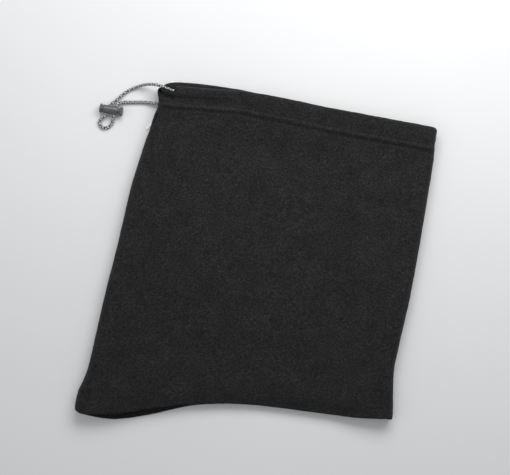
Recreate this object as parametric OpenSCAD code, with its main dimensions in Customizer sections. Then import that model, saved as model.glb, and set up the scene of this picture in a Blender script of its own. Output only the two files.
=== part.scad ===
// Fleece neck gaiter with a drawcord, lying flat. The tube is one piece of fleece: its top
// edge is turned in and sewn down as a casing, and the drawcord runs round inside it. Both
// ends of the cord leave at the left corner and pass through a sprung two-hole cord lock.
// Millimetres, +Z up. The underside lies on z = 0 and the casing is towards +Y.

/* [Fabric] */
// Thickness of the fleece
fabric_t = 1.6; // [1.4:0.1:1.7]
// Height of the tube as it lies, between the casing and the bottom edge
tube_h = 13; // [12:0.5:14]
// Clear height of the passage between the two sides of the casing
neck_gap = 4.6; // [4.6:0.2:5.4]

/* [Casing] */
// Clear height of the channel that the cord runs in
channel_h = 2.9; // [2.9:0.1:3.1]
// Distance from the top edge down to the upper row of stitches
upper_row = 15.2; // [14.8:0.1:15.4]
// Distance from the top edge down to the lower row of stitches
lower_row = 21.6; // [21:0.1:21.8]
// Depth of the turned-in hem
hem_depth = 24; // [24:0.2:24.6]

/* [Drawcord] */
// Diameter of the round cord
cord_d = 2.6; // [2.4:0.1:2.6]

/* [Cord lock] */
// Overall length of the lock, from its closed end to its button
lock_length = 20; // [19.6:0.2:20.4]
// Diameter of the button and of the flange on the closed end
flange_d = 8; // [7.6:0.2:8]
// Outer diameter of the barrel
barrel_d = 7.2; // [7:0.1:7.4]
// Diameter of the plunger's shaft
shaft_d = 4.6; // [4.5:0.1:4.7]
// Width of the two cord slots through the barrel
slot_w = 3; // [3:0.1:3.2]
// Length of each cord slot, along the barrel
slot_l = 4; // [3.8:0.1:4]
// Distance between the middles of the two cord slots
slot_pitch = 6; // [6:0.1:6.1]
// Travel of the button
press_travel = 1.4; // [1.2:0.1:1.4]

/* [Hidden] */

fleece_colour = [0.08, 0.08, 0.085];
thread_colour = [0.05, 0.05, 0.055];
label_colour = [0.93, 0.93, 0.92];
cord_colour = [0.25, 0.25, 0.26];
lock_colour = [0.22, 0.22, 0.23];
steel_colour = [0.7, 0.7, 0.72];

// Outline of the gaiter lying flat. Edges are [y, x]; the top and bottom lines are
// [s, y], where s runs from 0 at the left edge to 1 at the right edge.
left_edge = [
    [-149, -127], [-141, -134], [-133, -134], [-120, -130], [-107, -127], [-84, -126], [-48, -124],
    [-7, -121], [35, -119], [68, -115], [101, -110], [122, -109], [133, -110]
];
right_edge = [
    [-104, 134], [-80, 130], [-62, 128], [-38, 130], [12, 131], [64, 131],
    [117, 130], [142, 128]
];
top_line = [[0, 133], [0.03, 143.5], [0.3125, 149], [0.65, 147], [1, 142]];
bottom_line = [
    [0, -142], [0.03, -149], [0.15, -146], [0.25, -137], [0.37, -123],
    [0.5, -116], [0.7, -112], [0.85, -111], [1, -104]
];
// How far the front layer stops short of the rear one, at the top and at the bottom
front_top_gap = [[0, 0], [0.03, 1], [0.19, 3], [0.32, 2.5], [0.42, 0], [1, 0]];
front_bottom_gap = [[0, 2], [0.0625, 4], [0.2, 6], [0.42, 0], [1, 0]];

flat_steps = 16;         // even stations across each flat side
corner_s = 0.03;         // one more station, where the left edge turns into top and bottom
fold_steps = 8;          // stations round each folded side
casing_zone = 36;        // distance from the top edge measured in true millimetres
zone_end = 270;          // distance from the top edge that stands for the bottom edge
stitch_gap = 0.2;        // space between the hem and the wall under the stitches
groove = 0.6;            // how deep a row of stitches pulls into the fleece
groove_half = 1.2;       // half the width of that groove
channel_end = 11;        // distance from the top edge where the channel begins to close
casing_side = 2 * fabric_t + channel_h;
casing_h = 2 * casing_side + neck_gap;
fold_r = casing_side / 2;
cord_r = cord_d / 2;

across = concat([0, corner_s], [for (i = [1 : flat_steps - 1]) i / flat_steps]);
stations = concat(
    [for (s = across) [s, -90]],
    [for (i = [0 : fold_steps - 1]) [1, -90 + 180 * i / fold_steps]],
    [[1, 90]],
    [for (i = [len(across) - 1 : -1 : 1]) [across[i], 90]],
    [for (i = [0 : fold_steps - 1]) [0, 90 + 180 * i / fold_steps]]
);

function mix(a, b, k) = a + (b - a) * k;
function clamp01(k) = max(0, min(1, k));
function ease(k) = clamp01(k) * clamp01(k) * (3 - 2 * clamp01(k));
function unit(v) = v / norm(v);

// Height of the flattened tube at a distance w below the top edge
function height_at(w) = mix(casing_h, tube_h, ease((w - 10) / 20));

// Y of the point w below the top edge; front is 0 on the rear layer and 1 on the front
function y_at(s, front, w) =
    let (
        top = lookup(s, top_line) - front * lookup(s, front_top_gap),
        bottom = lookup(s, bottom_line) + front * lookup(s, front_bottom_gap)
    )
    w <= casing_zone
        ? top - w
        : mix(top - casing_zone, bottom, (w - casing_zone) / (zone_end - casing_zone));

// A point n inside the outer face and w below the top edge, at one station round the tube
function shell_point(station, n, w) =
    let (
        angle = station[1],
        r = height_at(w) / 2,
        y = y_at(station[0], (1 + sin(angle)) / 2, w),
        x = mix(lookup(y, left_edge) + r, lookup(y, right_edge) - r, station[0])
    )
    [x + (r - n) * cos(angle), y, r + (r - n) * sin(angle)];

// Quads between two closed rings of points, as triangles
function band(a, b, count) = [
    for (j = [0 : count - 1])
        let (k = (j + 1) % count)
        for (face = [[a + j, b + j, b + k], [a + j, b + k, a + k]]) face
];

// A closed profile of [n, w] points carried once round the tube
module round_tube(profile) {
    count = len(profile);
    rings = len(stations);
    polyhedron(
        points = [for (st = stations) for (p = profile) shell_point(st, p[0], p[1])],
        faces = [
            for (i = [0 : rings - 1])
                each band(i * count, ((i + 1) % rings) * count, count)
        ],
        convexity = 6
    );
}

// The wall from its bottom edge up, over the top and down again as the turned-in hem
hem_n = 2 * fabric_t + stitch_gap;
wall_profile = concat(
    [for (w = [zone_end, 262, 236, 205, 170, 135, 100, 70, 48, casing_zone, 29]) [0, w]],
    [for (row = [lower_row, upper_row], k = [1, 0, -1])
        [k == 0 ? groove : 0, row + k * groove_half]],
    [[0, 7]],
    [for (a = [0 : 30 : 180]) [fold_r - fold_r * cos(a), fold_r - fold_r * sin(a)]],
    [[casing_side, 7], [casing_side, channel_end], [hem_n, upper_row - 0.4], [hem_n, 19],
     [hem_n, hem_depth], [fabric_t + stitch_gap, hem_depth], [fabric_t + stitch_gap, 19],
     [fabric_t + stitch_gap, upper_row - 0.4], [fabric_t + channel_h, channel_end],
     [fabric_t + channel_h, 7]],
    [for (a = [180 : -30 : 0])
        [fold_r - channel_h / 2 * cos(a), fold_r - channel_h / 2 * sin(a)]],
    [for (w = [7, channel_end, upper_row - 0.4, 19, hem_depth, 29, casing_zone, 48, 70,
        100, 135, 170, 205, 236, 262, zone_end]) [fabric_t, w]]
);

// Where the two ends of the drawcord leave the casing
mouth_x = -95;
mouth_floor = 131.5;
clear_of_corner = [-125, 152];
slit_from = [-113, 121.5];
slit_size = [12.5, 4, 3.2];
slit_y = slit_from[1] + slit_size[1] / 2;
channel_n = fabric_t + channel_h / 2;

// The front layer of the casing is cut away at the corner, down to a sloping edge
module mouth_cut() {
    edge = [[clear_of_corner[0], 133], [mouth_x - 1, mouth_floor]];
    translate([0, 0, casing_h / 2])
        linear_extrude(casing_h)
            polygon(concat(edge, [[mouth_x + 0.5, clear_of_corner[1]], clear_of_corner]));
}

// An upright slit through the left fold of the rear layer of the casing
module rear_slit_cut() {
    translate([slit_from[0], slit_from[1], channel_n - slit_size[2] / 2])
        cube(slit_size);
}

module fleece_tube() {
    color(fleece_colour)
        difference() {
            round_tube(wall_profile);
            mouth_cut();
            rear_slit_cut();
        }
}

// The seam allowance inside the left fold, with its overlocked edge
module side_seam() {
    rows = [28, casing_zone, 48, 70, 100, 135, 170, 205, 236, 262];
    reach = 7;
    sunk = 0.3;
    sections = [
        for (w = rows)
            let (
                y = y_at(0, 0.5, w),
                x = lookup(y, left_edge) + fabric_t - sunk,
                z = height_at(w) / 2
            )
            [[x, y, z - fabric_t], [x + reach, y, z - fabric_t],
             [x + reach, y, z + fabric_t], [x, y, z + fabric_t]]
    ];
    last = (len(rows) - 1) * 4;
    color(thread_colour)
        polyhedron(
            points = [for (section = sections) each section],
            faces = concat(
                [[0, 2, 1], [0, 3, 2]],
                [for (i = [0 : len(rows) - 2]) each band(i * 4 + 4, i * 4, 4)],
                [[last, last + 1, last + 2], [last, last + 2, last + 3]]
            )
        );
}

// One row of thread lying in its groove
module thread_row(w) {
    color(thread_colour)
        round_tube([[0.2, w + 0.4], [0.2, w - 0.4], [0.75, w - 0.4], [0.75, w + 0.4]]);
}

module needle_thread_upper() { thread_row(upper_row); }
module needle_thread_lower() { thread_row(lower_row); }

// The looper thread that covers the hem between the two rows, on the inside
module looper_thread() {
    low_n = hem_n - 0.1;
    high_n = hem_n + 0.35;
    color(thread_colour)
        round_tube([[low_n, lower_row + 0.4], [low_n, upper_row],
                    [high_n, upper_row], [high_n, lower_row + 0.4]]);
}

// Dense stitches that close the seam below the mouth
module seam_bartack() {
    at_y = 113;
    at_x = lookup(at_y, left_edge) + 6.5;
    from_top = 20;
    size = [6, 0.8];
    thick = 0.8;
    sunk = 0.55;
    round_r = 0.6;
    color(thread_colour)
        translate([at_x, at_y, height_at(from_top) - sunk])
            linear_extrude(thick)
                offset(r = round_r, $fn = 16)
                    square(size, center = true);
}

// A blank folded tape sewn into the seam and tucked behind the corner
module care_label() {
    label_from = [-112.5, 104.5];
    label_to = [-98.5, 145];
    label_w = 6;
    label_t = 0.6;
    run = label_to - label_from;
    color(label_colour)
        translate([label_from[0], label_from[1], 0])
            rotate([0, 0, atan2(run[1], run[0])])
                translate([0, -label_w / 2, 0])
                    cube([norm(run), label_w, label_t]);
}

// The cord lock lies along X with its middle here
lock_at = [-147.4, 111.7, 4];
slant = 0.5;
front_slant = 0.9;
above = lock_at[1] + barrel_d / 2 - 0.6;
below = lock_at[1] - barrel_d / 2 + 0.2;
front_slot_x = lock_at[0] - slot_pitch / 2;
rear_slot_x = lock_at[0] + slot_pitch / 2;

// Route of the drawcord, from the front mouth through the lock, round its loop and back
// to the rear slit, then round inside the casing. Hand-placed points.
front_route = [
    [mouth_x, 135.5, casing_h - channel_n], [-100.5, 136.4, 13.6], [-106, 137.8, 12.7],
    [-111.5, 138.7, 11.1], [-117.2, 138.7, 8.4], [-122.8, 137.7, 5.1], [-128.4, 135.5, 2.6],
    [-133.7, 132.5, 1.5], [-138.7, 128.4, 1.4], [-142.5, 123.7, 1.9], [-145.4, 119.8, 3],
    [-147.9, 117.2, 3.7]
];
loop_route = [
    [front_slot_x + front_slant, above, 4], [front_slot_x, lock_at[1], 4],
    [front_slot_x - slant, below, 4], [-152.3, 105.4, 3.3], [-154.6, 103.1, 2.2],
    [-155.9, 100.4, 1.6], [-155.2, 97.9, 1.4], [-153, 96.2, 1.4], [-150.1, 95.8, 1.4],
    [-147.3, 97.2, 1.4], [-145.5, 99.7, 1.5], [-144.8, 102.4, 2.2], [-144.8, 105.2, 3.3],
    [rear_slot_x - slant, below, 4], [rear_slot_x, lock_at[1], 4],
    [rear_slot_x + slant, above, 4]
];
rear_route = [
    [-143.1, 117, 3.7], [-141, 119, 2.9], [-137.6, 120.4, 1.9], [-132, 121.3, 1.4],
    [-126, 122.5, 1.4], [-120, 123.4, 1.6], [-114.6, slit_y + 0.2, 2.8]
];
casing_drop = 8;
slit_point = [-109.3, slit_y, channel_n];
casing_turn = [
    slit_point, [-105.4, slit_y + 0.2, channel_n], [-102.7, 125.6, channel_n],
    [-100.8, 128.6, channel_n], [-98.2, 131.8, channel_n], [-94.5, 134.2, channel_n],
    [-89, 135.6, channel_n]
];
casing_run = concat(
    [for (s = [0.125 : 0.0625 : 0.9375])
        shell_point([s, -90], channel_n, casing_drop)],
    [for (a = [-90 : 22.5 : 90]) shell_point([1, a], channel_n, casing_drop)],
    [for (s = [0.9375 : -0.0625 : 0.125])
        shell_point([s, 90], channel_n, casing_drop)]
);
route = concat(front_route, loop_route, rear_route, casing_turn, casing_run);
loop_start = len(front_route);
loop_end = loop_start + len(loop_route) - 1;
slit_index = loop_end + len(rear_route) + 1;
cord_sides = 8;

// One ring of the cord at point i of the closed route, square to the route, with its
// points counted from the side that faces away from the given direction
function cord_ring(i, away) =
    let (
        count = len(route),
        at = route[i % count],
        along = unit(route[(i + 1) % count] - route[(i + count - 1) % count]),
        side = unit(cross(away, along)),
        up = cross(along, side)
    )
    [for (k = [0 : cord_sides - 1])
        at + cord_r * (cos(k * 360 / cord_sides) * side + sin(k * 360 / cord_sides) * up)];

module cord_piece(from, to, away) {
    last = (to - from) * cord_sides;
    color(cord_colour)
        polyhedron(
            points = [for (i = [from : to]) each cord_ring(i, away)],
            faces = concat(
                [for (k = [1 : cord_sides - 2]) [0, k, k + 1]],
                [for (i = [0 : to - from - 1])
                    each band(i * cord_sides, (i + 1) * cord_sides, cord_sides)],
                [for (k = [1 : cord_sides - 2]) [last, last + k + 1, last + k]]
            ),
            convexity = 4
        );
}

module drawcord_front_strand() { cord_piece(0, loop_start, [0, 0, 1]); }
module drawcord_loop() { cord_piece(loop_start, loop_end, [0, 0, 1]); }
module drawcord_rear_strand() { cord_piece(loop_end, slit_index, [0, 0, 1]); }
module drawcord_in_casing() { cord_piece(slit_index, len(route), [0, 1, 0]); }

// Distances along the lock are measured from its middle, with the button at the + end
lock_end = lock_length / 2;
chamfer = 0.6;
flange_w = 2.2;
barrel_end = 5.6;
barrel_floor = -lock_end + 0.8;
button_w = 2.8;
shaft_end = -5.8;
bore_clearance = 0.05;
lead_in = 0.95;          // how far the front slot widens where the slanted strand enters it
lead_in_depth = 2.2;
window_h = 3.3;
window_margin = 0.3;
spring_wire = 0.36;
spring_turns = 3.5;
spring_r = shaft_d / 2 - 0.6;

module along_lock() {
    translate(lock_at)
        rotate([0, 90, 0])
            children();
}

// A disc with both rims chamfered, from z = 0 to w
module rimmed_disc(w, r) {
    $fn = 64;
    cylinder(h = chamfer, r1 = r - chamfer, r2 = r);
    translate([0, 0, chamfer])
        cylinder(h = w - 2 * chamfer, r = r);
    translate([0, 0, w - chamfer])
        cylinder(h = chamfer, r1 = r, r2 = r - chamfer);
}

// A slot with round ends, through the barrel along Y
module cord_slot() {
    $fn = 64;
    straight = slot_l - slot_w;
    for (side = [-1, 1])
        translate([0, 0, side * straight / 2])
            rotate([90, 0, 0])
                cylinder(h = 2 * barrel_d, d = slot_w, center = true);
    cube([slot_w, 2 * barrel_d, straight], center = true);
}

module cord_lock_barrel() {
    $fn = 64;
    color(lock_colour)
        along_lock()
            difference() {
                union() {
                    translate([0, 0, -lock_end])
                        rimmed_disc(flange_w, flange_d / 2);
                    translate([0, 0, -lock_end + 1])
                        cylinder(h = lock_end - 1 + barrel_end, d = barrel_d);
                }
                translate([0, 0, barrel_floor])
                    cylinder(h = lock_length, d = shaft_d + 2 * bore_clearance);
                for (side = [-1, 1])
                    translate([0, 0, side * slot_pitch / 2])
                        cord_slot();
                translate([0, barrel_d / 2 - lead_in_depth, (slot_l - slot_w - slot_pitch) / 2])
                    rotate([-90, 0, 0])
                        cylinder(h = 2 * lead_in_depth, r1 = slot_w / 2,
                            r2 = slot_w / 2 + 2 * lead_in);
            }
}

module cord_lock_plunger() {
    $fn = 64;
    window_from = -cord_r - slant - window_margin;
    window_to = cord_r + slant + window_margin + press_travel;
    color(lock_colour)
        along_lock()
            difference() {
                union() {
                    translate([0, 0, shaft_end])
                        cylinder(h = lock_end - button_w - shaft_end + chamfer, d = shaft_d);
                    translate([0, 0, lock_end - button_w])
                        rimmed_disc(button_w, flange_d / 2);
                }
                for (side = [-1, 1])
                    translate([-window_h / 2, -shaft_d, side * slot_pitch / 2 + window_from])
                        cube([window_h, 2 * shaft_d, window_to - window_from]);
            }
}

// Coil spring between the closed end of the barrel and the plunger
module cord_lock_spring() {
    wire_r = spring_wire / 2;
    margin = wire_r + 0.05;
    low = barrel_floor + margin;
    high = shaft_end - margin;
    steps = 10;
    sides = 6;
    count = spring_turns * steps;
    rings = [
        for (i = [0 : count])
            let (a = i * 360 / steps, rise = mix(low, high, i / count))
            [for (k = [0 : sides - 1])
                let (b = k * 360 / sides)
                [(spring_r + wire_r * cos(b)) * cos(a),
                 (spring_r + wire_r * cos(b)) * sin(a),
                 rise + wire_r * sin(b)]]
    ];
    last = count * sides;
    color(steel_colour)
        along_lock()
            polyhedron(
                points = [for (ring = rings) each ring],
                faces = concat(
                    [for (k = [1 : sides - 2]) [0, k + 1, k]],
                    [for (i = [0 : count - 1]) each band((i + 1) * sides, i * sides, sides)],
                    [for (k = [1 : sides - 2]) [last, last + k, last + k + 1]]
                ),
                convexity = 8
            );
}

fleece_tube();
side_seam();
needle_thread_upper();
needle_thread_lower();
looper_thread();
seam_bartack();
care_label();
drawcord_in_casing();
drawcord_front_strand();
drawcord_rear_strand();
drawcord_loop();
cord_lock_barrel();
cord_lock_plunger();
cord_lock_spring();
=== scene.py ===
import math

import bmesh
import bpy
import numpy as np
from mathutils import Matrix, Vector


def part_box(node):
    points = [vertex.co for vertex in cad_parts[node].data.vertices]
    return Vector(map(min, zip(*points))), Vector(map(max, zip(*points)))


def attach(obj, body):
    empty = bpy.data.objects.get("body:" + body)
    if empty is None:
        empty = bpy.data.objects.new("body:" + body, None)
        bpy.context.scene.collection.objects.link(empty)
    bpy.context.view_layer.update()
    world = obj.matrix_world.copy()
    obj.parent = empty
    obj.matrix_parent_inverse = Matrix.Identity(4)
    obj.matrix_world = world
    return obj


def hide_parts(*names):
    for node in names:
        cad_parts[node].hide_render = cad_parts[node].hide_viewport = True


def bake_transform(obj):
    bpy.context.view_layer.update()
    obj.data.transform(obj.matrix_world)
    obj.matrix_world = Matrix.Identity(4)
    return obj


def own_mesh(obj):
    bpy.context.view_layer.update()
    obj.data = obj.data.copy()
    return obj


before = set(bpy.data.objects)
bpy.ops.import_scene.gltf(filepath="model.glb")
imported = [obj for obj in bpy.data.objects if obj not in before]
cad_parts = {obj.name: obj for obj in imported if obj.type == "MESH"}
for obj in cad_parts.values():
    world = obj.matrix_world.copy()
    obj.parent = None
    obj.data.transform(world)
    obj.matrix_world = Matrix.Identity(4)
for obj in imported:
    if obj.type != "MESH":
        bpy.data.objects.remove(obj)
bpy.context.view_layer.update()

MM = 0.001


# ---------------------------------------------------------------- camera and light

CAMERA_AT = (-0.0075, 0.0256, 1.033)
CAMERA_TURN = math.radians(10)


def make_camera():
    """Looks straight down, turned so that the gaiter lies askew in the view."""
    data = bpy.data.cameras.new("camera")
    data.lens = 85
    data.sensor_width = 36
    camera = bpy.data.objects.new("camera", data)
    camera.location = CAMERA_AT
    camera.rotation_euler = (0, 0, CAMERA_TURN)
    bpy.context.scene.collection.objects.link(camera)
    bpy.context.scene.camera = camera


make_camera()


# ---------------------------------------------------------------- numbers and noise

def ease(k):
    """0 below 0, 1 above 1 and a smooth step between."""
    k = np.clip(k, 0, 1)
    return k * k * (3 - 2 * k)


def hump(x, middle, half_width):
    """A bell of height 1."""
    return np.exp(-((x - middle) / half_width) ** 2)


def smooth_lookup(table, at):
    """Reads a table of (key, value) rows as a smooth curve that doesn't overshoot."""
    keys, values = np.array(table, float).T
    at = np.clip(np.asarray(at, float), keys[0], keys[-1])
    slope = np.diff(values) / np.diff(keys)
    before, after = slope[:-1], slope[1:]
    same_way = before * after > 0
    total = np.where(same_way, before + after, 1)
    tangent = np.concatenate([
        slope[:1],
        np.where(same_way, 2 * before * after / total, 0),
        slope[-1:],
    ])
    i = np.clip(np.searchsorted(keys, at) - 1, 0, len(keys) - 2)
    width = keys[i + 1] - keys[i]
    t = (at - keys[i]) / width
    return (
        (1 + 2 * t) * (1 - t) ** 2 * values[i]
        + t * (1 - t) ** 2 * width * tangent[i]
        + t * t * (3 - 2 * t) * values[i + 1]
        + t * t * (t - 1) * width * tangent[i + 1]
    )


def corner_value(i, j, k, seed):
    """A fixed value from -1 to 1 for each corner of a lattice."""
    h = (i * 374761393 + j * 668265263 + k * 1440662683 + seed * 97531) & 0xFFFFFFFF
    h = ((h ^ (h >> 13)) * 1274126177) & 0xFFFFFFFF
    return ((h ^ (h >> 16)) & 0xFFFF) / 32768 - 1


def noise(points, cell, seed):
    """Smooth noise from -1 to 1 at rows of x, y, z, with features of one cell."""
    scaled = np.asarray(points, float) / cell
    base = np.floor(scaled).astype(np.int64)
    f = scaled - base
    f = f * f * (3 - 2 * f)
    total = 0
    for dx in (0, 1):
        for dy in (0, 1):
            for dz in (0, 1):
                share = (
                    (f[..., 0] if dx else 1 - f[..., 0])
                    * (f[..., 1] if dy else 1 - f[..., 1])
                    * (f[..., 2] if dz else 1 - f[..., 2])
                )
                total = total + share * corner_value(
                    base[..., 0] + dx, base[..., 1] + dy, base[..., 2] + dz, seed
                )
    return total


# ---------------------------------------------------------------- meshes

def mesh_object(name, vertices_mm, faces, smooth=True):
    mesh = bpy.data.meshes.new(name)
    mesh.from_pydata((np.asarray(vertices_mm) * MM).tolist(), [], faces)
    mesh.polygons.foreach_set("use_smooth", [smooth] * len(mesh.polygons))
    obj = bpy.data.objects.new(name, mesh)
    bpy.context.scene.collection.objects.link(obj)
    return obj


def grid_faces(rings, count, first=0, closed=False):
    """Quads between rings of count points each, wound so that ring order and point order
    give outward faces on a right-handed sweep."""
    faces = []
    for i in range(rings if closed else rings - 1):
        a = first + i * count
        b = first + (i + 1) % rings * count
        faces += [(a + j, a + (j + 1) % count, b + (j + 1) % count, b + j) for j in range(count)]
    return faces


def sweep_frames(path):
    """Tangent, side and up along a path, without twist."""
    tangent = np.gradient(path, axis=0)
    tangent /= np.linalg.norm(tangent, axis=1)[:, None]
    side = np.empty_like(path)
    first = np.cross((0.0, 0.0, 1.0), tangent[0])
    side[0] = first / np.linalg.norm(first)
    for i in range(1, len(path)):
        carried = side[i - 1] - tangent[i] * np.dot(side[i - 1], tangent[i])
        side[i] = carried / np.linalg.norm(carried)
    return tangent, side, np.cross(tangent, side)


def tube_rings(path, radius, sides):
    """Rings of points round a path. The radius may change along it."""
    _, side, up = sweep_frames(path)
    turn = np.arange(sides) * 2 * math.pi / sides
    radius = np.broadcast_to(radius, len(path))[:, None, None]
    ring = np.cos(turn)[None, :, None] * side[:, None] + np.sin(turn)[None, :, None] * up[:, None]
    return path[:, None] + radius * ring


def capped_tube(vertices, faces, path, radius, sides):
    """Adds one closed tube to lists of vertices and faces."""
    first = len(vertices)
    rings = tube_rings(path, radius, sides)
    vertices.extend(rings.reshape(-1, 3).tolist())
    faces.extend(grid_faces(len(path), sides, first))
    last = first + (len(path) - 1) * sides
    faces.append(tuple(range(first + sides - 1, first - 1, -1)))
    faces.append(tuple(range(last, last + sides)))


def even_path(points, step):
    """A Catmull-Rom curve through the points, with a point every step."""
    points = np.array(points, float)
    ends = [2 * points[0] - points[1]], [2 * points[-1] - points[-2]]
    padded = np.concatenate([ends[0], points, ends[1]])
    fine = []
    for i in range(1, len(padded) - 2):
        p0, p1, p2, p3 = padded[i - 1:i + 3]
        t = np.linspace(0, 1, 24, endpoint=False)[:, None]
        fine.append(0.5 * (
            2 * p1 + (p2 - p0) * t + (2 * p0 - 5 * p1 + 4 * p2 - p3) * t ** 2
            + (3 * p1 - p0 - 3 * p2 + p3) * t ** 3
        ))
    fine = np.concatenate(fine + [points[-1:]])
    along = np.concatenate([[0], np.cumsum(np.linalg.norm(np.diff(fine, axis=0), axis=1))])
    count = max(2, round(along[-1] / step) + 1)
    at = np.linspace(0, along[-1], count)
    return np.stack([np.interp(at, along, fine[:, axis]) for axis in range(3)], axis=1)


def cut(obj, *cutters):
    """Cuts the cutters out of a piece and deletes them."""
    for cutter in cutters:
        modifier = obj.modifiers.new("cut", "BOOLEAN")
        modifier.operation = "DIFFERENCE"
        modifier.solver = "EXACT"
        modifier.object = cutter
    graph = bpy.context.evaluated_depsgraph_get()
    mesh = bpy.data.meshes.new_from_object(obj.evaluated_get(graph))
    obj.modifiers.clear()
    obj.data = mesh
    for cutter in cutters:
        bpy.data.objects.remove(cutter)


def face_outwards(obj):
    """Turns every face of a closed piece outwards."""
    bm = bmesh.new()
    bm.from_mesh(obj.data)
    bmesh.ops.recalc_face_normals(bm, faces=bm.faces)
    bm.to_mesh(obj.data)
    bm.free()


def vertex_array(mesh, attribute="co"):
    values = np.empty(len(mesh.vertices) * 3)
    if attribute == "co":
        mesh.vertices.foreach_get("co", values)
    else:
        mesh.vertex_normals.foreach_get("vector", values)
    return values.reshape(-1, 3)


# ---------------------------------------------------------------- the flattened tube

# Outline of the gaiter in millimetres. Edges are (y, x); the top and bottom lines are
# (s, y), with s from 0 at the left edge to 1 at the right edge.
LEFT_EDGE = [
    (-151, -130), (-145.5, -133.1), (-140, -133.9), (-130, -133.4), (-119, -130.4),
    (-107, -128.3), (-87, -127.2), (-46, -125.1), (7, -121.4), (48, -119.2), (80, -115.3),
    (91, -113.7), (102, -111.7), (109, -110.9), (115, -110), (123, -108.4), (133, -110.8),
]
RIGHT_EDGE = [
    (-112, 133.6), (-104, 134.6), (-98, 133.8), (-84, 131.4), (-63, 128.9), (-42, 129.5), (0, 131.5),
    (41, 131.9), (92, 131.4), (113, 131.2), (134, 129.6), (142, 129.3),
]
TOP_LINE = [
    (0, 143.6), (0.04, 145.2), (0.115, 146.8), (0.19, 147.5), (0.27, 148), (0.345, 147.4),
    (0.425, 147), (0.5, 146.5), (0.6, 145.6), (0.75, 145.3), (0.89, 144.9), (1, 144.4),
]
BOTTOM_LINE = [
    (0, -149.2), (0.05, -149.6), (0.1, -148.6), (0.15, -145.8), (0.2, -141.8), (0.25, -136.8),
    (0.3, -131.2), (0.345, -126.6), (0.395, -122.6), (0.495, -117.6), (0.6, -114.9),
    (0.7, -113.6), (0.8, -112.3), (0.9, -110.8), (0.957, -108.8), (1, -106.8),
]
# How far the front layer stops short of the rear one
FRONT_TOP_GAP = [
    (0, 3.5), (0.03, 4.8), (0.115, 4.4), (0.19, 3.4), (0.27, 2), (0.34, 0.9), (0.42, 0.4), (1, 0.4),
]
FRONT_BOTTOM_GAP = [(0, 2), (0.0625, 4.5), (0.2, 6.5), (0.3, 4), (0.42, 0.6), (1, 0)]
# How far the rear layer's left corners fall away, by distance from the left edge
TOP_CORNER = [(3, 4.6), (4.2, 3.0), (5.6, 1.8), (8.5, 0.6), (12, 0)]
BOTTOM_CORNER = [(0, 2.6), (2, 1.1), (4.5, 0.3), (7.5, 0), (13, 0)]

FABRIC_T = 1.6
CHANNEL_H = 2.9
CASING_SIDE = 2 * FABRIC_T + CHANNEL_H
CASING_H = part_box("fleece_tube")[1].z / MM
TUBE_H = 13
FOLD_R = CASING_SIDE / 2
UPPER_ROW = 15.2
LOWER_ROW = 21.6
HEM_DEPTH = 24
HEM_N = 2 * FABRIC_T + 0.2
CASING_ZONE = 36            # the distance from the top edge is kept true down to here
ZONE_END = 270              # and the bottom edge has this one, whatever the real distance
CHANNEL_N = FABRIC_T + CHANNEL_H / 2
CASING_DROP = 8             # how far below the top edge the cord runs in the casing
STITCHES = 164              # stitches once round a row
ON_FLOOR = 0.02             # the lowest that anything lies
FLAT_SHARE = 0.45           # share of the way round that one flat side takes
FLAT_WIDTH = 235            # about how wide a flat side is

# How far the front layer sinks between its folded sides, by distance below the top edge
SAG = [(0, 2.4), (12, 2.6), (24, 3), (50, 5.2), (210, 5.2), (255, 3.8), (270, 3.4)]
# How far its raw bottom edge curls down, by s
EDGE_CURL = [(0, 0), (0.12, 0.5), (0.3, 1.6), (0.5, 3), (0.8, 3.2), (0.95, 1.2), (1, 0)]
EDGE_CURL_W = 13
# Soft folds of the front layer: from x, y to x, y, half its width, and its height
SOFT_FOLDS = [
    (-98, 121, -58, 112, 7, 0.9), (-60, 118, 10, 121, 8, 0.5), (30, 114, 96, 106, 9, 0.5),
    (-104, 62, -78, -22, 15, 0.9), (-58, 92, -24, 40, 20, -0.7), (88, 78, 112, -6, 13, 0.8),
    (6, 24, 66, -34, 24, 0.7), (-100, -66, -56, -112, 13, 0.9), (-36, -84, 18, -98, 14, -0.8),
    (62, -60, 112, -88, 13, 1.0), (-70, 0, -20, -52, 22, 0.6), (36, 84, 64, 40, 18, -0.6),
]


def flat_position(u):
    """Where u, the share of the way round the tube, is: s across it and the fold angle.
    The rear layer runs from 0 to FLAT_SHARE and the front layer from 0.5 on."""
    u = np.asarray(u, float) % 1
    fold = 0.5 - FLAT_SHARE
    s = np.select(
        [u < FLAT_SHARE, u < 0.5, u < 0.5 + FLAT_SHARE],
        [u / FLAT_SHARE, 1.0, 1 - (u - 0.5) / FLAT_SHARE], 0.0,
    )
    angle = np.select(
        [u < FLAT_SHARE, u < 0.5, u < 0.5 + FLAT_SHARE],
        [-0.5 * math.pi, -0.5 * math.pi + (u - FLAT_SHARE) / fold * math.pi, 0.5 * math.pi],
        0.5 * math.pi + (u - 0.5 - FLAT_SHARE) / fold * math.pi,
    )
    return s, angle


def soft_folds(x, y):
    """Height that the soft folds add to the front layer."""
    total = 0
    for x0, y0, x1, y1, half_width, height in SOFT_FOLDS:
        total = total + height * hump(distance_to(x, y, (x0, y0, x1, y1)), 0, half_width)
    return total


# How deep the casing's two rows of stitches pull the whole layer in, by distance below the
# top edge. A narrow ridge stands between the rows.
STITCH_DEPTH = [
    (0, 0), (4, 0), (8, 0.5), (11.5, 1.3), (13.8, 1.6), (15.6, 1.55), (16.5, 1.15), (17.3, 0.45),
    (18.2, -0.05), (19.4, 0.1), (21, 0.95), (21.8, 1.0), (23, 0.35), (26, 0), (36, 0),
]
PUCKERS = [(4.5, 21, 0.24), (11, 22, 0.22)]     # size, seed and height
NAP = [(2.3, 31, 0.11), (4.6, 32, 0.10), (9, 33, 0.08)]
RIPPLES = [(46, 3, 0.55), (19, 5, 0.3)]


def layered_noise(points, layers):
    """The sum of noises given as rows of size, seed and height."""
    return sum(height * noise(points, size, seed) for size, seed, height in layers)


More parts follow.
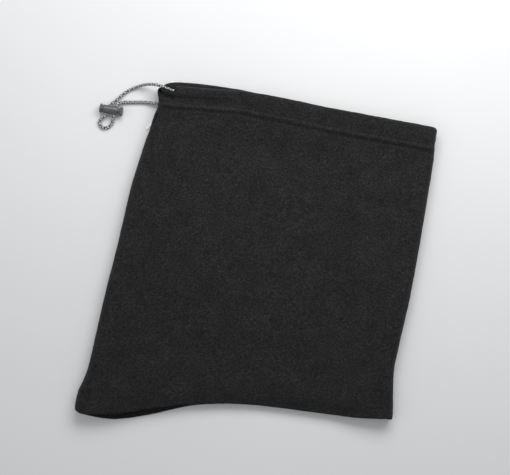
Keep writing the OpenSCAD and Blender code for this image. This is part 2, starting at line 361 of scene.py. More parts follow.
def stitch_depth(u, w, s, angle):
    """How far the layer is drawn in at the rows of stitches, with puckers along them."""
    place = np.stack([u * 500, 0 * u + 0.5, 0 * u + 0.5], axis=-1)
    pucker = layered_noise(place, PUCKERS) * hump(w, (UPPER_ROW + LOWER_ROW) / 2, 8)
    depth = smooth_lookup(STITCH_DEPTH, w) + pucker
    # Round the cord near the mouth the front layer stands up, and steps down below it
    near_mouth = ease(np.sin(angle)) * ease((0.34 - s) / 0.28)
    step = ease((w - 7.6) / 3.4) * (1 - ease((w - 12.5) / 7))
    return depth * (1 - 0.85 * np.abs(np.cos(angle))) + 1.5 * near_mouth * step


# The crease under the mouth
CREASE_LINE = (-113, 132.6, -96.5, 129.8)
CREASE_HALF_WIDTH = 1.5
CREASE_DEPTH = 1.7


def distance_to(x, y, line):
    """Distance in plan from a line given by its two ends."""
    x0, y0, x1, y1 = line
    dx, dy = x1 - x0, y1 - y0
    t = np.clip(((x - x0) * dx + (y - y0) * dy) / (dx * dx + dy * dy), 0, 1)
    return np.hypot(x - x0 - t * dx, y - y0 - t * dy)


def shell(u, n, w):
    """Points of the flattened tube in millimetres: u once round it, n the depth below its
    outer face, and w the distance below its top edge."""
    u, n, w = np.broadcast_arrays(u, n, w)
    s, angle = flat_position(u)
    r = (CASING_H + (TUBE_H - CASING_H) * ease((w - 10) / 20)) / 2
    front = (1 + np.sin(angle)) / 2
    n = n + stitch_depth(u, w, s, angle)
    top = smooth_lookup(TOP_LINE, s) - front * smooth_lookup(FRONT_TOP_GAP, s)
    turned_in = np.where(s > 0.5, 1, np.cos(angle))
    from_left = r * (1 + turned_in) + s * FLAT_WIDTH
    rim_from_left = from_left - FOLD_R * turned_in
    rear = 1 - ease(np.sin(angle))
    top = top - rear * smooth_lookup(TOP_CORNER, rim_from_left) * ease((14 - w) / 8)
    bottom = smooth_lookup(BOTTOM_LINE, s) + front * smooth_lookup(FRONT_BOTTOM_GAP, s)
    bottom = bottom + smooth_lookup(BOTTOM_CORNER, from_left)
    # The front casing is a little narrower near the mouth
    w = w * (1 - 0.085 * front * ease((0.5 - s) / 0.35) * ease((CASING_ZONE + 10 - w) / 20))
    down = np.clip((w - CASING_ZONE) / (ZONE_END - CASING_ZONE), 0, None)
    y = np.where(w <= CASING_ZONE, top - w, top - CASING_ZONE + (bottom - top + CASING_ZONE) * down)
    left = smooth_lookup(LEFT_EDGE, y) + r
    right = smooth_lookup(RIGHT_EDGE, y) - r
    x = left + (right - left) * s + (r - n) * np.cos(angle)
    z = r + (r - n) * np.sin(angle)

    # The front layer sinks onto the rear one, with soft folds and a curled bottom edge
    inset = np.minimum(s, 1 - s)
    across = ease(inset / 0.2)
    place = np.stack([x, y, 0 * x], axis=-1)
    ripple = layered_noise(place, RIPPLES)
    loose = ease((w - 14) / 20)
    sink = smooth_lookup(SAG, w) * across
    sink = sink - loose * across * (soft_folds(x, y) + ripple)
    sink = sink + smooth_lookup(EDGE_CURL, s) * ease((w - ZONE_END + EDGE_CURL_W) / EDGE_CURL_W)
    # The rear layer lifts a little off the surface near its bottom edge
    rear_lift = (1 - front) * across * ease((w - 235) / 35) * (0.5 + 0.5 * noise(place, 30, 8))
    crease = CREASE_DEPTH * hump(distance_to(x, y, CREASE_LINE), 0, CREASE_HALF_WIDTH)
    z = np.maximum(z - front * (sink + crease) + rear_lift, ON_FLOOR)
    return np.stack([x, y, z], axis=-1)


def wall_profile():
    """The wall once round in rows of n and w: up the outer face, over the top edge, down
    the hem, back up inside the channel and down the inner face to the raw edge."""
    outer = [(0, w) for w in np.linspace(ZONE_END - 0.5, CASING_ZONE, 122)]
    outer += [(0, w) for w in np.linspace(CASING_ZONE - 0.9, FOLD_R + 0.7, 40)]
    over = [
        (FOLD_R - FOLD_R * math.cos(a), FOLD_R - FOLD_R * math.sin(a))
        for a in np.linspace(0, math.pi, 9)
    ]
    hem_inner = [(3, 6.1), (9, 6.05), (UPPER_ROW, HEM_N), (HEM_DEPTH - 0.5, HEM_N)]
    hem_outer = [(3, 4.5), (9.5, 4.4), (UPPER_ROW, 1.82), (HEM_DEPTH - 0.5, 1.8)]
    down = [(smooth_lookup(hem_inner, w), w) for w in np.linspace(FOLD_R + 1.5, HEM_DEPTH - 0.5, 12)]
    end = [(HEM_N - 0.3, HEM_DEPTH), (1.8 + 0.3, HEM_DEPTH)]
    back = [(smooth_lookup(hem_outer, w), w) for w in np.linspace(HEM_DEPTH - 0.5, FOLD_R + 1.5, 10)]
    half_channel = CHANNEL_H / 2
    inside = [
        (FOLD_R + half_channel * math.cos(a), FOLD_R - half_channel * math.sin(a))
        for a in np.linspace(0, math.pi, 6)
    ]
    inner = [(FABRIC_T, w) for w in np.linspace(FOLD_R + 2, HEM_DEPTH + 2, 9)]
    inner += [(FABRIC_T, w) for w in np.linspace(HEM_DEPTH + 7, ZONE_END - 6, 44)]
    inner += [(FABRIC_T, ZONE_END - 2), (FABRIC_T, ZONE_END - 0.5)]
    edge = [(FABRIC_T * 0.75, ZONE_END), (FABRIC_T * 0.25, ZONE_END)]
    return np.array(outer + over + down + end + back + inside + inner + edge, float)


def prism(name, outline, low, high):
    """A closed upright solid with the given outline, for cutting."""
    count = len(outline)
    vertices = [(x, y, low) for x, y in outline] + [(x, y, high) for x, y in outline]
    faces = [tuple(range(count - 1, -1, -1)), tuple(range(count, 2 * count))]
    faces += [
        (j, (j + 1) % count, (j + 1) % count + count, j + count) for j in range(count)
    ]
    return mesh_object(name, vertices, faces)


# The mouth: below LIP_Z the whole corner is open, and above it the outer fabric reaches up
# to the cord as a lip
MOUTH_OUTLINE = [
    (-126, 134.5), (-114, 133.9), (-109.6, 133.2), (-103, 131.9), (-98.6, 131.3),
    (-96.8, 131.7), (-95.9, 133.2), (-95.3, 137), (-94.8, 142), (-94.6, 153), (-126, 153),
]
LIP_OUTLINE = [
    (-126, 134.5), (-114, 134.3), (-110.5, 134.5), (-108.6, 135.2), (-107, 136.2), (-105, 136.7),
    (-100.5, 135.9), (-97.4, 135.1), (-96.2, 135.5), (-95.6, 137.4), (-94.8, 142), (-94.6, 153),
    (-126, 153),
]
MOUTH_LOW = 9.2
LIP_Z = 15.0
# No stitch crosses this corner of the front layer
MOUTH_RIGHT = -95
MOUTH_BOTTOM = 131
# The slit in the rear layer, where the other strand goes in
SLIT_OUTLINE = [(-114, 121.5), (-100.5, 121.5), (-100.5, 125.5), (-114, 125.5)]
SLIT_LOW = 1.4
SLIT_HIGH = 4.7


def make_fleece():
    stations = 336
    profile = wall_profile()
    u = (np.arange(stations) + 0.5)[:, None] / stations
    points = shell(u, profile[None, :, 0], profile[None, :, 1])
    faces = grid_faces(stations, len(profile), closed=True)
    obj = mesh_object("gaiter_fleece", points.reshape(-1, 3), faces)
    cut(
        obj,
        prism("mouth_cutter", MOUTH_OUTLINE, MOUTH_LOW, LIP_Z),
        prism("lip_cutter", LIP_OUTLINE, LIP_Z - 0.2, 30),
        prism("slit_cutter", SLIT_OUTLINE, SLIT_LOW, SLIT_HIGH),
    )

    # The short nap stands up unevenly on every face
    mesh = obj.data
    at = vertex_array(mesh)
    outward = vertex_array(mesh, "normal")
    at += outward * (layered_noise(at / MM, NAP) * MM)[:, None]
    # The label lies flat on the floor, and the rear layer rests on it
    apart = np.min([
        distance_to(at[:, 0] / MM, at[:, 1] / MM, (*a, *b)) for a, b in zip(LABEL_RUN, LABEL_RUN[1:])
    ], axis=0)
    floor = LABEL_TOP * (1 - ease((apart - LABEL_WIDTH / 2) / 2.5)) * MM
    at[:, 2] = np.maximum(at[:, 2], floor)
    mesh.vertices.foreach_set("co", at.ravel())
    mesh.set_sharp_from_angle(angle=math.radians(50))
    return obj


# ---------------------------------------------------------------- threads and seam

def thread_piece(name, paths, radius, sides=6):
    vertices, faces = [], []
    for path in paths:
        capped_tube(vertices, faces, path, radius, sides)
    return mesh_object(name, vertices, faces)


def make_needle_row(name, row):
    """One row of separate straight stitches, each ending down in the fabric. None crosses
    the mouth."""
    along = np.linspace(0.06, 0.94, 7)
    sunk = 0.52 - 0.52 * np.sin(np.linspace(0, math.pi, 7)) ** 0.5
    paths = []
    for i in range(STITCHES):
        path = shell((i + along) / STITCHES, sunk, row)
        x, y, z = path.T
        in_mouth = (z > CASING_H / 2) & (x < MOUTH_RIGHT) & (y > MOUTH_BOTTOM)
        if not in_mouth.any():
            paths.append(path)
    return thread_piece(name, paths, 0.2)


def make_looper():
    """The zigzag of looper thread that covers the raw edge of the hem, inside the tube."""
    per_loop = 8
    count = STITCHES * per_loop
    u = np.arange(count) / count
    phase = np.arange(count) % per_loop / per_loop
    swing = np.interp(phase, [0, 0.35, 0.5, 0.85, 1], [0, 1, 1, 0, 0])
    w = UPPER_ROW + (LOWER_ROW - UPPER_ROW) * swing
    path = shell(u, HEM_N + 0.12 + 0.12 * np.sin(phase * 2 * math.pi), w)
    path = np.concatenate([path, path[:1]])
    return thread_piece("looper_stitches", [path], 0.18, sides=5)


SEAM_ROWS = np.linspace(28, 258, 80)
SEAM_REACH = 7


def seam_point(w, reach, lift):
    """A point on the seam allowance inside the left fold."""
    w, reach, lift = np.broadcast_arrays(w, reach, lift)
    inner = shell(0.975 + 0 * w, FABRIC_T + 0 * w, w)
    wave = 0.5 * np.sin(w / 9.0) * reach / SEAM_REACH
    return inner + np.stack([reach - 0.3, 0 * w, lift + wave], axis=-1)


def make_seam():
    """The two joined edges of the sheet, standing inwards from the left fold."""
    lower = [(0, -1.5), (2, -1.5), (4, -1.45), (SEAM_REACH - 0.6, -1.4), (SEAM_REACH, -0.9),
             (SEAM_REACH - 0.3, -0.15)]
    upper = [(reach, -lift) for reach, lift in reversed(lower)]
    reach, lift = np.array(lower + upper).T
    rows = np.array([seam_point(w, reach, lift) for w in SEAM_ROWS])
    count = len(reach)
    faces = grid_faces(len(rows), count)
    last = (len(rows) - 1) * count
    faces += [tuple(range(count - 1, -1, -1)), tuple(range(last, last + count))]
    obj = mesh_object("seam_allowance", rows.reshape(-1, 3), faces)
    face_outwards(obj)
    return obj


def make_overlock():
    """Thread loops that wrap the seam allowance's raw edge."""
    loops, first_w, span, loop_length = 92, 30, 226, 2.2
    share = np.linspace(-1, 1, 11)
    turn = 0.72 * math.pi * share
    reach = SEAM_REACH - 1.9 + 2.15 * np.cos(turn)
    lift = 1.72 * np.sin(turn)
    paths = [
        seam_point(first_w + i * span / loops + loop_length * (share * 0.5 + 0.5), reach, lift)
        for i in range(loops)
    ]
    return thread_piece("overlock_stitches", paths, 0.17, sides=5)


def make_bartack():
    """A dense upright bar of stitches that closes the seam below the mouth, on the left fold."""
    passes, first_w, height = 21, 27.6, 7.2
    middle_u, half_u = 0.96, 0.0032
    count = passes * 6
    t = np.arange(count) / (count - 1)
    zigzag = np.clip((np.abs((t * passes) % 2 - 1) * 2 - 1) * 1.15, -1, 1)
    u = middle_u + (half_u + 0.0006 * np.sin(t * 41)) * zigzag
    sunk = 0.22 - 0.30 * (1 - np.abs(zigzag) ** 4)
    return thread_piece("seam_bartack_stitches", [shell(u, sunk, first_w + height * t)], 0.15)


# ---------------------------------------------------------------- label

LABEL_WIDTH = 6.2
LABEL_TIP_WIDTH = 2.3
LABEL_T = 0.16
LABEL_TOP = 0.74            # height of its upper face where it lies under the fleece
# Middle of the tape: its two ends spread below the left edge, and it is folded at the top
LABEL_ENDS = [
    [(-115.0, 101.0, 0.45), (-112.9, 105.2, 0.5)],
    [(-110.2, 102.6, 0.2), (-110.6, 105.6, 0.2)],
]
LABEL_RUN = [
    (-110.4, 109.0), (-106.2, 114.5), (-103.4, 122.0), (-101.0, 131.0), (-99.2, 139.5),
    (-98.3, 145.0),
]


def make_label():
    """A blank tape folded in two, sewn in behind the corner. Its ends spread a little where
    they show past the left edge, and its fold shows above the top edge."""
    vertices, faces = [], []
    across = np.linspace(-0.5, 0.5, 9)
    for layer, ends in enumerate(LABEL_ENDS):
        height = 0.22 + 0.3 * (1 - layer)
        run = [(x, y, height) for x, y in LABEL_RUN]
        path = even_path(ends + run, 0.9)
        tangent, _, _ = sweep_frames(path)
        beside = np.stack([-tangent[:, 1], tangent[:, 0]], axis=1)
        beside /= np.linalg.norm(beside, axis=1)[:, None]
        along = np.linspace(0, 1, len(path))
        widening = ease((along - 0.08) / 0.24)
        width = LABEL_TIP_WIDTH + (LABEL_WIDTH - LABEL_TIP_WIDTH) * widening
        first = len(vertices)
        for i, spot in enumerate(path):
            for face in (-1, 1):
                for c in across[::-face]:
                    curl = 0.10 * math.cos(6 * c + 14 * along[i])
                    vertices.append((
                        spot[0] + beside[i, 0] * width[i] * c,
                        spot[1] + beside[i, 1] * width[i] * c,
                        spot[2] + face * LABEL_T / 2 + curl,
                    ))
        count = 2 * len(across)
        faces += grid_faces(len(path), count, first)
        last = first + (len(path) - 1) * count
        faces.append(tuple(range(first + count - 1, first - 1, -1)))
        faces.append(tuple(range(last, last + count)))
    obj = mesh_object("blank_label", vertices, faces)
    face_outwards(obj)
    obj.data.set_sharp_from_angle(angle=math.radians(40))
    return obj


# ---------------------------------------------------------------- drawcord

# The free cord's route, from the front mouth through the lock, round its loop and back
# through the lock to the slit in the rear layer
CORD_ROUTE = [
    (-0.095, 0.1355, 0.01375), (-0.1005, 0.1364, 0.0136), (-0.106, 0.1378, 0.0127),
    (-0.1115, 0.1387, 0.0111), (-0.1172, 0.1387, 0.0084), (-0.1228, 0.1377, 0.0051),
    (-0.1284, 0.1355, 0.0026), (-0.1337, 0.1325, 0.0015), (-0.1387, 0.1284, 0.0014),
    (-0.1425, 0.1237, 0.0019), (-0.1454, 0.1198, 0.003), (-0.1479, 0.1172, 0.0037),
    (-0.1495, 0.1147, 0.004), (-0.1504, 0.1117, 0.004), (-0.1509, 0.1083, 0.004),
    (-0.1523, 0.1054, 0.0033), (-0.1546, 0.1031, 0.0022), (-0.1559, 0.1004, 0.0016),
    (-0.1552, 0.0979, 0.0014), (-0.153, 0.0962, 0.0014), (-0.1501, 0.0958, 0.0014),
    (-0.1473, 0.0972, 0.0014), (-0.1455, 0.0997, 0.0015), (-0.1448, 0.1024, 0.0022),
    (-0.1448, 0.1052, 0.0033), (-0.1449, 0.1083, 0.004), (-0.1444, 0.1117, 0.004),
    (-0.1439, 0.1147, 0.004), (-0.1431, 0.117, 0.0037), (-0.141, 0.119, 0.0029),
    (-0.1376, 0.1204, 0.0019), (-0.132, 0.1213, 0.0014), (-0.126, 0.1225, 0.0014),
    (-0.12, 0.1234, 0.0016), (-0.1146, 0.1237, 0.0028), (-0.1093, 0.1235, 0.00305),
]
CORD_D = 2.6
CORE_R = 0.95
CARRIERS = 8                # yarns each way
BRAID_PITCH = 9.0           # length in which a yarn goes once round
BRAID_STEP = 0.36
# The carriers whose yarns are white tracers, by the way they turn
WHITE_FORWARD = (0, 2, 4, 6)
WHITE_BACKWARD = (1, 5)


def braid_faces(path, vertices, faces, materials):
    """Sixteen yarns, eight each way, each over two and under two, round a core."""
    tangent, side, up = sweep_frames(path)
    along = np.concatenate([[0], np.cumsum(np.linalg.norm(np.diff(path, axis=0), axis=1))])
    turn_rate = 2 * math.pi / BRAID_PITCH
    crossing = CARRIERS * turn_rate * along / math.pi
    middle_r, swing = 1.05, 0.16
    half_wide, half_thick = 0.35, 0.15
    sides = 6
    section = np.arange(sides) * 2 * math.pi / sides
    for way in (1, -1):
        for carrier in range(CARRIERS):
            angle = 2 * math.pi * carrier / CARRIERS + way * turn_rate * along
            beat = 2 * carrier + way * crossing
            radius = middle_r + way * swing * np.cos((beat - 0.5) * math.pi / 2)
            out = np.cos(angle)[:, None] * side + np.sin(angle)[:, None] * up
            round_way = -np.sin(angle)[:, None] * side + np.cos(angle)[:, None] * up
            heading = tangent + way * turn_rate * middle_r * round_way
            heading /= np.linalg.norm(heading, axis=1)[:, None]
            wide = np.cross(heading, out)
            centre = path + radius[:, None] * out
            rings = (
                centre[:, None]
                + half_wide * np.cos(section)[None, :, None] * wide[:, None]
                + half_thick * np.sin(section)[None, :, None] * out[:, None]
            )
            first = len(vertices)
            vertices.extend(rings.reshape(-1, 3).tolist())
            new = grid_faces(len(path), sides, first)
            last = first + (len(path) - 1) * sides
            new.append(tuple(range(first + sides - 1, first - 1, -1)))
            new.append(tuple(range(last, last + sides)))
            faces.extend(new)
            white = carrier in (WHITE_FORWARD if way > 0 else WHITE_BACKWARD)
            materials.extend([1 if white else 0] * len(new))


def make_drawcord():
    path = even_path(np.array(CORD_ROUTE) / MM, BRAID_STEP)
    vertices, faces, materials = [], [], []
    braid_faces(path, vertices, faces, materials)
    before = len(faces)
    capped_tube(vertices, faces, path, CORE_R, 10)
    materials.extend([0] * (len(faces) - before))
    obj = mesh_object("drawcord", vertices, faces)
    return obj, materials


# In plan, where the cord turns from the slit into the casing, and its height there
SLIT_TURN = [
    (-109.3, 123.5), (-105.4, 123.7), (-102.7, 125.6), (-100.8, 128.6), (-98.2, 131.8),
    (-94.5, 134.2), (-89, 135.6),
]
SLIT_TURN_Z = 3.05


def make_casing_cord():
    """The rest of the cord, round inside the casing. It follows the sunken layers."""
    turn = [(x, y, SLIT_TURN_Z) for x, y in SLIT_TURN]
    stops = np.concatenate([
        np.linspace(0.125 * FLAT_SHARE, 0.9375 * FLAT_SHARE, 13),
        np.linspace(FLAT_SHARE, 0.5, 9),
        0.5 + np.linspace(0.0625 * FLAT_SHARE, 0.88 * FLAT_SHARE, 13),
    ])
    run = shell(stops, CHANNEL_N, CASING_DROP)
    mouth = np.array(CORD_ROUTE[:1]) / MM
    sides, step = 16, 0.8
    path = even_path(np.concatenate([turn, run, mouth]), step)
    along = np.arange(len(path)) * step
    rings = tube_rings(path, CORD_D / 2 - 0.05, sides)
    angle = np.arange(sides) * 2 * math.pi / sides
    weave = np.cos(4 * angle)[None, :] * np.cos(along * 2 * math.pi / 2.25)[:, None]
    rings = path[:, None] + (rings - path[:, None]) * (1 + 0.04 * weave[..., None])
    faces = grid_faces(len(path), sides)
    last = (len(path) - 1) * sides
    faces += [tuple(range(sides - 1, -1, -1)), tuple(range(last, last + sides))]
    return mesh_object("casing_cord", rings.reshape(-1, 3), faces)


# ---------------------------------------------------------------- cord lock

LOCK_AT = (-147.4, 111.7, 4.0)
BARREL_PROFILE = [
    (-10, 0), (-10, 2.7), (-9.93, 3.2), (-9.72, 3.62), (-9.35, 3.88), (-8.9, 3.98), (-8.45, 3.96),
    (-8.1, 3.82), (-7.9, 3.5), (-7.78, 3.18), (-7.5, 3.08), (-7.2, 3.14), (-7.0, 3.36),
    (-6.75, 3.52), (-6.3, 3.58), (-4, 3.6), (0, 3.61), (3.6, 3.6), (4.9, 3.58), (5.3, 3.52),
    (5.52, 3.38), (5.6, 3.15), (5.6, 2.6), (5.5, 2.42), (5.2, 2.35), (0, 2.35), (-6, 2.35),
    (-9.1, 2.35), (-9.2, 2.2), (-9.2, 0),
]
BUTTON_PROFILE = [
    (-5.8, 0), (-5.8, 2.1), (-5.65, 2.27), (-5.4, 2.3), (0, 2.3), (6.4, 2.3), (7.0, 2.32),
    (7.2, 2.45), (7.22, 2.9), (7.3, 3.18), (7.6, 3.42), (8.1, 3.68), (8.6, 3.9), (9.0, 3.98),
    (9.4, 3.94), (9.72, 3.72), (9.92, 3.36), (10, 2.9), (9.98, 2.4), (9.86, 1.9), (9.78, 1.2),
    (9.75, 0),
]


def turned(name, profile, sides, shape):
    """Turns a profile of (distance along, radius) about the lock's axis. shape(along, radius,
    angle) gives the radius at each angle, for ribs and mould lines."""
    rows = even_profile(profile)
    angle = np.arange(sides) * 2 * math.pi / sides
    vertices, faces = [(rows[0][0], 0, 0)], []
    inner = rows[1:-1]
    for a, r in inner:
        radius = shape(a, r, angle)
        vertices += [(a, radius[j] * math.cos(angle[j]), radius[j] * math.sin(angle[j]))
                     for j in range(sides)]
    vertices.append((rows[-1][0], 0, 0))
    faces += [(0, 1 + (j + 1) % sides, 1 + j) for j in range(sides)]
    faces += grid_faces(len(inner), sides, 1)
    last = len(vertices) - 1
    base = 1 + (len(inner) - 1) * sides
    faces += [(last, base + j, base + (j + 1) % sides) for j in range(sides)]
    moved = np.array(vertices) + np.array(LOCK_AT)
    obj = mesh_object(name, moved, faces)
    face_outwards(obj)
    return obj


def even_profile(profile):
    """Adds points along the long runs of a profile, so that faces stay short."""
    rows = [profile[0]]
    for (a0, r0), (a1, r1) in zip(profile, profile[1:]):
        steps = max(1, round(math.hypot(a1 - a0, r1 - r0) / 0.8)) if r0 and r1 else 1
        rows += [(a0 + (a1 - a0) * k / steps, r0 + (r1 - r0) * k / steps)
                 for k in range(1, steps + 1)]
    return rows


def slot_cutter(name, along, half_length, half_width, depth, flare):
    """A slot with round ends through the lock along Y, flared where it meets the surface."""
    sides = 32
    turn = np.arange(sides) * 2 * math.pi / sides
    levels = [(-depth - 1, flare), (-depth, flare), (-depth + 0.6, 0), (depth - 0.6, 0),
              (depth, flare), (depth + 1, flare)]
    straight = half_length - half_width
    vertices = []
    for y, grow in levels:
        radius = half_width + grow
        for t in turn:
            shift = straight if math.cos(t) > 0 else -straight
            vertices.append((along + shift + radius * math.cos(t), y, radius * math.sin(t)))
    faces = grid_faces(len(levels), sides)
    last = (len(levels) - 1) * sides
    faces += [tuple(range(sides - 1, -1, -1)), tuple(range(last, last + sides))]
    obj = mesh_object(name, np.array(vertices) + np.array(LOCK_AT), faces)
    face_outwards(obj)
    return obj


def mould_line(angle):
    """A fine raised line on both sides, where the two halves of a mould met."""
    line = 0
    for at in (0.5 * math.pi + 0.18, 1.5 * math.pi + 0.18):
        apart = (angle - at + math.pi) % (2 * math.pi) - math.pi
        line = line + 0.05 * np.exp(-(apart / 0.05) ** 2)
    return line


GRIP_RIBS = 20


def barrel_shape(along, radius, angle):
    outside = radius > 2.9
    grip = 0
    if along < -8.0 and outside:
        grip = 0.05 * np.cos(angle * GRIP_RIBS)
    return radius + (mould_line(angle) if outside else 0) + grip + 0 * angle


def button_shape(along, radius, angle):
    ribs = 0
    if along > 7.9 and radius > 3.3:
        ribs = 0.09 * np.cos(angle * GRIP_RIBS)
    return radius + ribs + 0 * angle


SLOT_ALONG = 3.0            # of a slot's middle, either side of the lock's


def make_barrel():
    obj = turned("lock_barrel", BARREL_PROFILE, 120, barrel_shape)
    cut(obj, *[
        slot_cutter("slot_cutter", side * SLOT_ALONG, 2.0, 1.5, 3.45, 0.3)
        for side in (-1, 1)
    ])
    obj.data.set_sharp_from_angle(angle=math.radians(35))
    return obj


def make_button():
    obj = turned("lock_button", BUTTON_PROFILE, 120, button_shape)
    cut(obj, *[
        slot_cutter("window_cutter", side * SLOT_ALONG + 0.7, 2.7, 1.6, 2.3, 0.12)
        for side in (-1, 1)
    ])
    obj.data.set_sharp_from_angle(angle=math.radians(35))
    return obj


def make_spring():
    turns, wire, radius = 3.5, 0.18, 1.7
    low, high = -9.2 + wire + 0.05, -5.8 - wire - 0.05
    t = np.linspace(0, 1, int(turns * 40) + 1)
    # The first and last turns are closed, so the rise is gentler there
    rise = low + (high - low) * ease(t * 0.9 + 0.05)
    angle = t * turns * 2 * math.pi
    path = np.stack([rise, radius * np.cos(angle), radius * np.sin(angle)], axis=1)
    vertices, faces = [], []
    capped_tube(vertices, faces, path + np.array(LOCK_AT), wire, 10)
    return mesh_object("lock_spring", vertices, faces)


# ---------------------------------------------------------------- materials

def new_material(name):
    material = bpy.data.materials.new(name)
    material.use_nodes = True
    tree = material.node_tree
    return material, tree, tree.nodes["Principled BSDF"]


def add(tree, kind, **values):
    node = tree.nodes.new(kind)
    for key, value in values.items():
        if key in node.inputs:
            node.inputs[key].default_value = value
        else:
            setattr(node, key, value)
    return node


def object_coordinates(tree):
    return add(tree, "ShaderNodeTexCoord").outputs["Object"]


def noise_at(tree, coordinates, size_mm, detail=2.0, roughness=0.5):
    node = add(tree, "ShaderNodeTexNoise", Scale=1 / (size_mm * MM), Detail=detail, Roughness=roughness)
    tree.links.new(coordinates, node.inputs["Vector"])
    return node.outputs["Fac"]


def ramp(tree, factor, stops):
    node = add(tree, "ShaderNodeValToRGB")
    elements = node.color_ramp.elements
    while len(elements) < len(stops):
        elements.new(0.5)
    for element, (position, colour) in zip(elements, stops):
        element.position = position
        element.color = (*colour, 1)
    tree.links.new(factor, node.inputs["Fac"])
    return node.outputs["Color"]


def combine(tree, operation, first, second):
    node = add(tree, "ShaderNodeMath", operation=operation)
    for socket, value in zip(node.inputs, (first, second)):
        if isinstance(value, (int, float)):
            socket.default_value = value
        else:
            tree.links.new(value, socket)
    return node.outputs["Value"]


def bump(tree, bsdf, height, distance_mm, strength=1.0):
    node = add(tree, "ShaderNodeBump", Strength=strength, Distance=distance_mm * MM)
    tree.links.new(height, node.inputs["Height"])
    tree.links.new(node.outputs["Normal"], bsdf.inputs["Normal"])


def grey(value, blue=1.04):
    return (value, value, value * blue)


def stretched(tree, coordinates, turn, stretch):
    """Coordinates turned about Z and stretched along their new Y, for streaks."""
    node = add(
        tree, "ShaderNodeMapping", Rotation=(0, 0, math.radians(turn)), Scale=(1, 1 / stretch, 1))
    tree.links.new(coordinates, node.inputs["Vector"])
    return node.outputs["Vector"]


def weighted(tree, *pairs):
    """The sum of sockets, each times its weight."""
    total = None
    for socket, weight in pairs:
        part = combine(tree, "MULTIPLY", socket, weight)
        total = part if total is None else combine(tree, "ADD", total, part)
    return total


def fleece_material():
    """Black microfleece: short fibres in small soft clumps that catch the light unevenly."""
    material, tree, bsdf = new_material("fleece")
    at = object_coordinates(tree)
    clumps = noise_at(tree, at, 1.5, 3, 0.6)
    one_way = noise_at(tree, stretched(tree, at, 24, 4), 0.32, 2, 0.6)
    other_way = noise_at(tree, stretched(tree, at, -38, 4), 0.30, 2, 0.6)
    patches = noise_at(tree, at, 14, 2)
    pills = add(tree, "ShaderNodeTexVoronoi", Scale=1 / (1.3 * MM), Randomness=1.0)
    pills.feature = "SMOOTH_F1"
    tree.links.new(at, pills.inputs["Vector"])
    shade = weighted(tree, (clumps, 0.50), (one_way, 0.2), (other_way, 0.2), (patches, 0.10))
    colour = ramp(tree, shade, [(0.38, grey(0.0065)), (0.5, grey(0.0143)), (0.62, grey(0.033))])
    tree.links.new(colour, bsdf.inputs["Base Color"])
    bsdf.inputs["Roughness"].default_value = 0.95
    bsdf.inputs["Specular IOR Level"].default_value = 0.15
    bsdf.inputs["Sheen Weight"].default_value = 0.10
    bsdf.inputs["Sheen Roughness"].default_value = 0.45
    bsdf.inputs["Sheen Tint"].default_value = (0.8, 0.8, 0.86, 1)
    height = weighted(
        tree, (clumps, 0.40), (one_way, 0.32), (other_way, 0.32), (pills.outputs["Distance"], -0.25))
    bump(tree, bsdf, height, 0.8, 1.0)
    return material


def thread_material():
    """Black spun thread with a fine twist."""
    material, tree, bsdf = new_material("thread")
    at = object_coordinates(tree)
    twist = noise_at(tree, at, 0.22, 2)
    tree.links.new(
        ramp(tree, twist, [(0.3, grey(0.005)), (0.7, grey(0.014))]), bsdf.inputs["Base Color"])
    bsdf.inputs["Roughness"].default_value = 0.85
    bsdf.inputs["Specular IOR Level"].default_value = 0.15
    bump(tree, bsdf, twist, 0.08)
    return material


def yarn_material(name, dark, light):
    """Filament yarn with fine lengthwise streaks."""
    material, tree, bsdf = new_material(name)
    at = object_coordinates(tree)
    strands = noise_at(tree, at, 0.16, 3, 0.6)
    tree.links.new(ramp(tree, strands, [(0.3, dark), (0.7, light)]), bsdf.inputs["Base Color"])
    bsdf.inputs["Roughness"].default_value = 0.55
    bsdf.inputs["Sheen Weight"].default_value = 0.15
    bump(tree, bsdf, strands, 0.06)
    return material


def label_material():
    """White woven satin tape, blank."""
    material, tree, bsdf = new_material("label_tape")
    at = object_coordinates(tree)
    weave = add(tree, "ShaderNodeTexWave", Scale=1 / (0.35 * MM) / 6.28, Distortion=0.6, Detail=1.0)
    weave.bands_direction = "DIAGONAL"
    tree.links.new(at, weave.inputs["Vector"])
    soil = noise_at(tree, at, 5, 2)
    colour = ramp(tree, soil, [(0.3, (0.80, 0.80, 0.79)), (0.7, (0.90, 0.90, 0.89))])
    tree.links.new(colour, bsdf.inputs["Base Color"])
    bsdf.inputs["Roughness"].default_value = 0.42
    bsdf.inputs["Sheen Weight"].default_value = 0.2
    bump(tree, bsdf, weave.outputs["Fac"], 0.05, 0.6)
    return material


def plastic_material():
    """Moulded dark grey acetal, satin, with faint scuffs."""
    material, tree, bsdf = new_material("lock_plastic")
    at = object_coordinates(tree)
    grain = noise_at(tree, at, 0.25, 2)
    cloud = noise_at(tree, at, 3.0, 3)
    scuffs = noise_at(tree, at, 0.9, 5, 0.7)
    colour = ramp(tree, cloud, [(0.3, grey(0.07)), (0.7, grey(0.095))])
    tree.links.new(colour, bsdf.inputs["Base Color"])
    rough = combine(tree, "ADD", combine(tree, "MULTIPLY", scuffs, 0.14), 0.15)
    tree.links.new(rough, bsdf.inputs["Roughness"])
    bump(tree, bsdf, grain, 0.03, 0.5)
    return material


def steel_material():
    material, tree, bsdf = new_material("spring_steel")
    at = object_coordinates(tree)
    drawn = noise_at(tree, at, 0.3, 3)
    tree.links.new(ramp(tree, drawn, [(0.3, grey(0.5)), (0.7, grey(0.62))]), bsdf.inputs["Base Color"])
    bsdf.inputs["Metallic"].default_value = 1.0
    bsdf.inputs["Roughness"].default_value = 0.32
    bump(tree, bsdf, drawn, 0.01, 0.4)
    return material


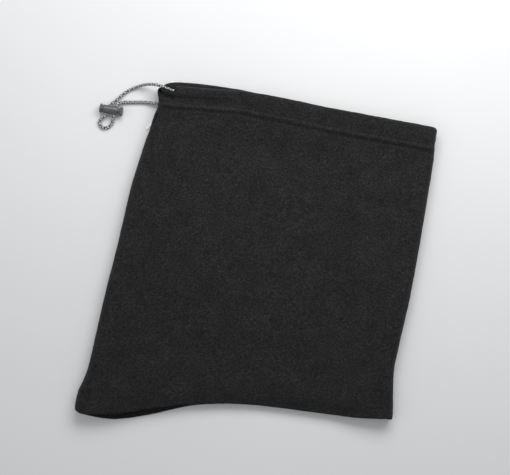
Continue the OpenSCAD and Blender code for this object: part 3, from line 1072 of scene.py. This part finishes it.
def floor_material():
    material, tree, bsdf = new_material("floor")
    at = object_coordinates(tree)
    soft = noise_at(tree, at, 400, 2)
    tree.links.new(
        ramp(tree, soft, [(0.3, (0.70, 0.70, 0.70)), (0.7, (0.73, 0.73, 0.73))]),
        bsdf.inputs["Base Color"])
    bsdf.inputs["Roughness"].default_value = 0.9
    return material


# ---------------------------------------------------------------- stage

def make_floor():
    half = 3.0
    steps = 8
    line = np.linspace(-half, half, steps + 1) / MM
    vertices = [(x, y, -0.15) for x in line for y in line]
    faces = [
        (i * (steps + 1) + j, (i + 1) * (steps + 1) + j, (i + 1) * (steps + 1) + j + 1,
         i * (steps + 1) + j + 1)
        for i in range(steps) for j in range(steps)
    ]
    floor = mesh_object("floor", vertices, faces)
    floor.data.materials.append(floor_material())


def area_light(name, at, aim, size, power):
    data = bpy.data.lights.new(name, "AREA")
    data.shape = "RECTANGLE"
    data.size, data.size_y = size
    data.energy = power
    light = bpy.data.objects.new(name, data)
    light.location = at
    light.rotation_euler = (Vector(aim) - Vector(at)).to_track_quat("-Z", "Y").to_euler()
    bpy.context.scene.collection.objects.link(light)


def make_light():
    """A broad soft light from beyond the casing, with a weak fill."""
    world = bpy.data.worlds.new("world")
    world.use_nodes = True
    world.node_tree.nodes["Background"].inputs["Color"].default_value = (0.95, 0.97, 1.0, 1)
    world.node_tree.nodes["Background"].inputs["Strength"].default_value = 0.42
    bpy.context.scene.world = world
    area_light("key", (0.06, 0.48, 0.46), (0, 0.08, 0), (0.75, 0.36), 4.3)
    area_light("fill", (-0.8, -0.1, 0.9), (0, 0, 0), (0.8, 0.8), 1.6)
    bpy.context.scene.view_settings.view_transform = "Standard"


# ---------------------------------------------------------------- assembly

drawcord, yarn_of_face = make_drawcord()
fleece = make_fleece()
upper_stitches = make_needle_row("needle_stitches_upper", UPPER_ROW)
lower_stitches = make_needle_row("needle_stitches_lower", LOWER_ROW)
looper = make_looper()
seam = make_seam()
overlock = make_overlock()
bartack = make_bartack()
label = make_label()
casing_cord = make_casing_cord()
barrel = make_barrel()
button = make_button()
spring = make_spring()

fleece_look = fleece_material()
thread_look = thread_material()
cord_dark = yarn_material("cord_yarn", grey(0.018), grey(0.05))
cord_white = yarn_material("tracer_yarn", grey(0.55, 1.0), grey(0.80, 1.0))
plastic_look = plastic_material()

fleece.data.materials.append(fleece_look)
seam.data.materials.append(fleece_look)
for piece in (upper_stitches, lower_stitches, looper, overlock, bartack):
    piece.data.materials.append(thread_look)
label.data.materials.append(label_material())
casing_cord.data.materials.append(cord_dark)
drawcord.data.materials.append(cord_dark)
drawcord.data.materials.append(cord_white)
drawcord.data.polygons.foreach_set("material_index", yarn_of_face)
barrel.data.materials.append(plastic_look)
button.data.materials.append(plastic_look)
spring.data.materials.append(steel_material())

for piece, slot, nodes in (
    (fleece, "fleece", ["fleece_tube"]),
    (seam, "fleece", ["side_seam"]),
    (upper_stitches, "thread", ["needle_thread_upper"]),
    (lower_stitches, "thread", ["needle_thread_lower"]),
    (looper, "thread", ["looper_thread"]),
    (overlock, "thread", []),
    (bartack, "thread", ["seam_bartack"]),
    (label, "label_tape", ["care_label"]),
    (casing_cord, "drawcord", ["drawcord_in_casing"]),
):
    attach(piece, "gaiter")
    if nodes:
        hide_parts(*nodes)

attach(barrel, "cord_lock")
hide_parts("cord_lock_barrel")
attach(button, "lock_button")
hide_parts("cord_lock_plunger")
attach(spring, "cord_lock")
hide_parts("cord_lock_spring")
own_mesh(spring)

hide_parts("drawcord_front_strand", "drawcord_rear_strand", "drawcord_loop")
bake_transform(drawcord)

make_floor()
make_light()
